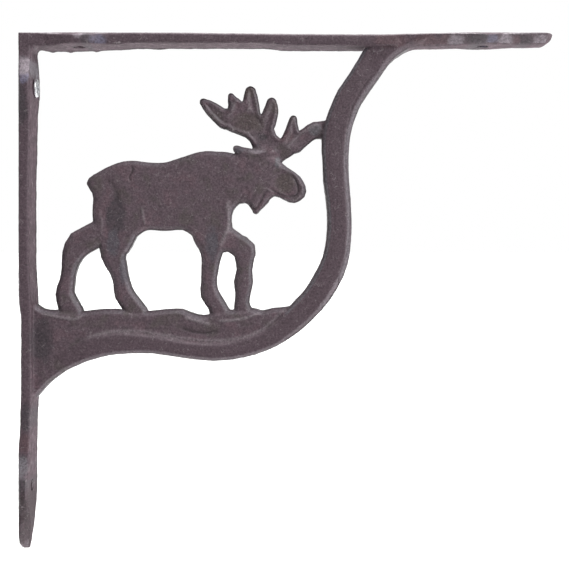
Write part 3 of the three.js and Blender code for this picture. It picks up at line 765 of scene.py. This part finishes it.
def makeIronPaint():
    # Thin mauve-brown paint, satin, over sand-cast iron: cloudy in colour, greyer on worn edges, with
    # painted highlights on ridges and on slopes that face the light, painted shade in the grooves, the
    # screw holes and along the side walls by the mould seam, patches of stains, painted shade and painted
    # highlights, and a few pale grains of sand in it
    material, tree, shader = newMaterial("satinPaintOnCastIron")
    place = addNode(tree, "TexCoord").outputs["Object"]
    colours = dict(ironPaint)
    tones = {"pointed": addNode(tree, "NewGeometry").outputs["Pointiness"]}
    for name, (size, detail, roughness) in ironPaint["patterns"].items():
        scale = 1 / (size * mm)
        pattern = addNode(tree, "TexNoise", {"Vector": place, "Scale": scale, "Detail": detail,
                                             "Roughness": roughness})
        tones[name] = pattern.outputs["Fac"]
    for name in (*stainsAndPaintedLight, "frame", "slopeHighlight", "inner", "holeShadeAndEdgeGrime", "relief", "seamAndSideShade"):
        tones[name] = addNode(tree, "Attribute", attribute_name=name).outputs["Fac"]
    for kind in stainsAndPaintedLight:
        cloudy = addNode(tree, "Math", {0: tones[kind], 1: tones["clouds"]}, operation="MULTIPLY")
        tones[kind + "Cloudy"] = cloudy.outputs[0]
    # Scuffs are thin crooked lines, where a pattern passes its middle value
    centred = addNode(tree, "Math", {0: tones["crooked"], 1: 0.5}, operation="SUBTRACT")
    tones["offMiddle"] = addNode(tree, "Math", {0: centred.outputs[0]}, operation="ABSOLUTE").outputs[0]

    def layOn(colour, layers):
        for name, strength, *spreads in layers:
            share = strength
            for tone, *levels in spreads:
                level = tones[tone]
                if levels:
                    start, full = levels
                    ramp = addNode(tree, "MapRange", {"Value": level, "From Min": start, "From Max": full},
                                   interpolation_type="SMOOTHSTEP")
                    level = ramp.outputs["Result"]
                share = addNode(tree, "Math", {0: share, 1: level}, operation="MULTIPLY").outputs[0]
            mixed = addNode(tree, "Mix", {0: share, 6: colour, 7: colours[name]}, data_type="RGBA")
            colour = mixed.outputs[2]
        return colour

    colours["inner"] = layOn(ironPaint["inner"], ironPaint["innerClouds"])
    colour = layOn(ironPaint["paint"], ironPaint["underShade"])
    low, high = ironPaint["shadeLevels"]
    darkest, lightest = ironPaint["shade"]
    shade = addNode(tree, "MapRange", {"Value": tones["mottles"], "From Min": low, "From Max": high,
                                       "To Min": darkest, "To Max": lightest})
    shaded = addNode(tree, "Mix", {0: 1.0, 6: colour, 7: shade.outputs["Result"]},
                     data_type="RGBA", blend_type="MULTIPLY")
    colour = layOn(shaded.outputs[2], ironPaint["overShade"])
    tree.links.new(colour, shader.inputs["Base Color"])
    smoothest, roughest = ironPaint["roughness"]
    rough = addNode(tree, "MapRange", {"Value": tones["mottles"], "To Min": smoothest, "To Max": roughest})
    added = ironPaint["innerRoughness"]
    rougher = addNode(tree, "Math", {0: tones["inner"], 1: added, 2: rough.outputs["Result"]},
                      operation="MULTIPLY_ADD")
    tree.links.new(rougher.outputs[0], shader.inputs["Roughness"])
    strength, height = ironPaint["bump"]
    bump = addNode(tree, "Bump", {"Height": tones["grit"], "Strength": strength, "Distance": height * mm})
    tree.links.new(bump.outputs["Normal"], shader.inputs["Normal"])
    return material


zinc = {
    "blotch": 0.9,
    "corroded": (0.33, "#4a4b50"),
    "bright": (0.45, "#f0f1f4"),
    "roughness": (0.5, 0.25),
    "bump": (0.8, 0.3),
}


def makeZinc():
    # Bright zinc plate gone blotchy: it glitters in patches, with a few dark spots of corrosion
    material, tree, shader = newMaterial("brightZincPlate")
    shader.inputs["Metallic"].default_value = 1.0
    place = addNode(tree, "TexCoord").outputs["Object"]
    scale = 1 / (zinc["blotch"] * mm)
    blotches = addNode(tree, "TexNoise", {"Vector": place, "Scale": scale, "Detail": 3.0}).outputs["Fac"]
    tone = addNode(tree, "ValToRGB", {"Fac": blotches})
    for stop, (position, code) in zip(tone.color_ramp.elements, (zinc["corroded"], zinc["bright"])):
        stop.position = position
        stop.color = toLinear(code)
    tree.links.new(tone.outputs["Color"], shader.inputs["Base Color"])
    corroded, bright = zinc["roughness"]
    rough = addNode(tree, "MapRange", {"Value": blotches, "To Min": corroded, "To Max": bright})
    tree.links.new(rough.outputs["Result"], shader.inputs["Roughness"])
    strength, height = zinc["bump"]
    bump = addNode(tree, "Bump", {"Height": blotches, "Strength": strength, "Distance": height * mm})
    tree.links.new(bump.outputs["Normal"], shader.inputs["Normal"])
    return material


for piece, material in ((ironCasting, makeIronPaint()), (zincScrew, makeZinc())):
    piece.data.materials.clear()
    piece.data.materials.append(material)

for piece, node, slot in (
        (ironCasting, "bracket_casting", "painted_iron"),
        (zincScrew, "wall_screw", "zinc_screw")):
    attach(piece, "root")
    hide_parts(node)
print("paint and plating done")


# Studio, in metres

studio = {
    "floor": "#f8f8f8",
    "floorRoughness": 0.9,
    "floorSize": 60,
    "floorMiddle": 0.12,
    "floorFront": 0.15,
    "floorLevel": -0.35,
    # A white tent: axis, from where to where, and how bright it is at either end. It has a darker
    # mouth where the camera looks in, a darker back and floor, and a brighter right hand side.
    "tent": [
        ("Y", -0.85, -0.45, 0.15, 1),
        ("Y", 0, 0.6, 1, 0.4),
        ("X", -0.8, 0.8, 0.5, 1.3),
        ("Z", -0.8, 0.8, 0.6, 1),
    ],
    "topLight": 3.4,
    "topLightAngle": 0.1,
    "keyBoxPlace": (1.0, -1.0, 0.8),
    "keyBoxAim": (0.1, 0, 0),
    "keyBoxSize": 0.8,
    "keyBoxPower": 10,
}

# Square to the side of the bracket, 535 mm away; the lens is shifted as the picture is framed
view = {
    "place": (0.1225, -0.535, 0.019),
    "pictureWidth": 569,
    "focalPixels": 1141,
    "sensorWidth": 36,
    "shift": (0.0009, -0.0677),
}


def makeFloor():
    size = studio["floorSize"]
    place = (studio["floorMiddle"], size / 2 - studio["floorFront"], studio["floorLevel"])
    bpy.ops.object.select_all(action="DESELECT")
    bpy.ops.mesh.primitive_plane_add(size=size, location=place)
    floor = newest("paleFloor")
    putInMesh(floor)
    # Matt white board: no gloss and no pattern
    material, tree, shader = newMaterial("mattWhiteBoard")
    shader.inputs["Base Color"].default_value = toLinear(studio["floor"])
    shader.inputs["Roughness"].default_value = studio["floorRoughness"]
    floor.data.materials.append(material)


def makeTent():
    world = bpy.data.worlds.new("whiteTent")
    bpy.context.scene.world = world
    world.use_nodes = True
    tree = world.node_tree
    place = addNode(tree, "TexCoord").outputs["Generated"]
    axes = addNode(tree, "SeparateXYZ", {0: place}).outputs
    strength = 1.0
    for axis, start, end, first, last in studio["tent"]:
        part = addNode(tree, "MapRange", {"Value": axes[axis], "From Min": start, "From Max": end,
                                          "To Min": first, "To Max": last})
        product = addNode(tree, "Math", {0: strength, 1: part.outputs["Result"]}, operation="MULTIPLY")
        strength = product.outputs[0]
    # The picture's own background is plain white
    seen = addNode(tree, "LightPath").outputs["Is Camera Ray"]
    strength = addNode(tree, "Math", {0: strength, 1: seen}, operation="MAXIMUM").outputs[0]
    background = tree.nodes["Background"]
    background.inputs["Color"].default_value = (1, 1, 1, 1)
    tree.links.new(strength, background.inputs["Strength"])


def addLights():
    bpy.ops.object.light_add(type="SUN", location=(0, 0, 2))
    topLight = bpy.context.object
    topLight.name = "topLight"
    topLight.data.energy = studio["topLight"]
    topLight.data.angle = studio["topLightAngle"]
    place = Vector(studio["keyBoxPlace"])
    bpy.ops.object.light_add(type="AREA", location=place)
    keyBox = bpy.context.object
    keyBox.name = "keyBox"
    keyBox.data.shape = "SQUARE"
    keyBox.data.size = studio["keyBoxSize"]
    keyBox.data.energy = studio["keyBoxPower"]
    keyBox.rotation_euler = (Vector(studio["keyBoxAim"]) - place).to_track_quat("-Z", "Y").to_euler()


def makeCamera():
    bpy.ops.object.camera_add(location=view["place"], rotation=(np.pi / 2, 0, 0))
    camera = bpy.context.object
    camera.data.sensor_width = view["sensorWidth"]
    camera.data.lens = view["sensorWidth"] * view["focalPixels"] / view["pictureWidth"]
    camera.data.shift_x, camera.data.shift_y = view["shift"]
    bpy.context.scene.camera = camera


makeFloor()
makeTent()
addLights()
makeCamera()
bpy.context.scene.view_settings.view_transform = "Standard"
print("studio ready")
